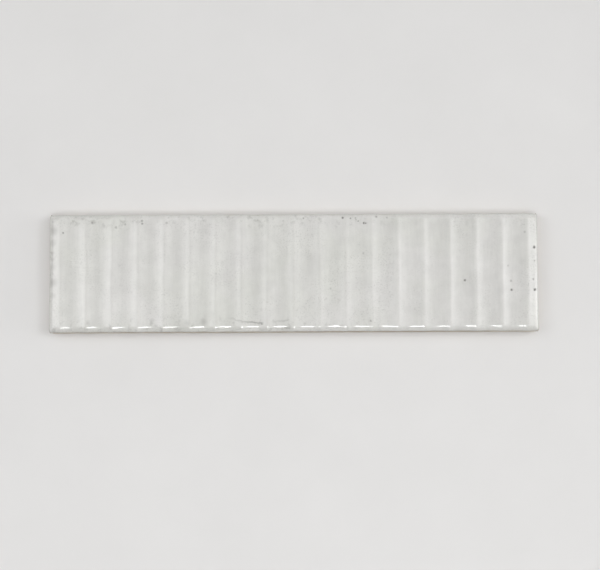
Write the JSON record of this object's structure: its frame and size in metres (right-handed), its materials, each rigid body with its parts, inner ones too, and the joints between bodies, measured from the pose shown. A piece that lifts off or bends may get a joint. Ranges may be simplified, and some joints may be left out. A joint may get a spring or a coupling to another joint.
{
  "type": "wall tile",
  "caption": "Long narrow ceramic wall tile with a fluted, glossy glazed face, a rolled rim and a ribbed, unglazed back for bonding to a wall.",
  "frame": {"origin": "middle of the bedding face on the back of the tile", "axes": "+X along the length of the tile, +Y across its width along the flutes, +Z out of the fluted glazed face"},
  "size_m": [0.246, 0.06, 0.009],
  "materials": {
    "glazed_clay": "glossy"
  },
  "bodies": {
    "root": {"tile": "glazed_clay"}
  },
  "joints": []
}
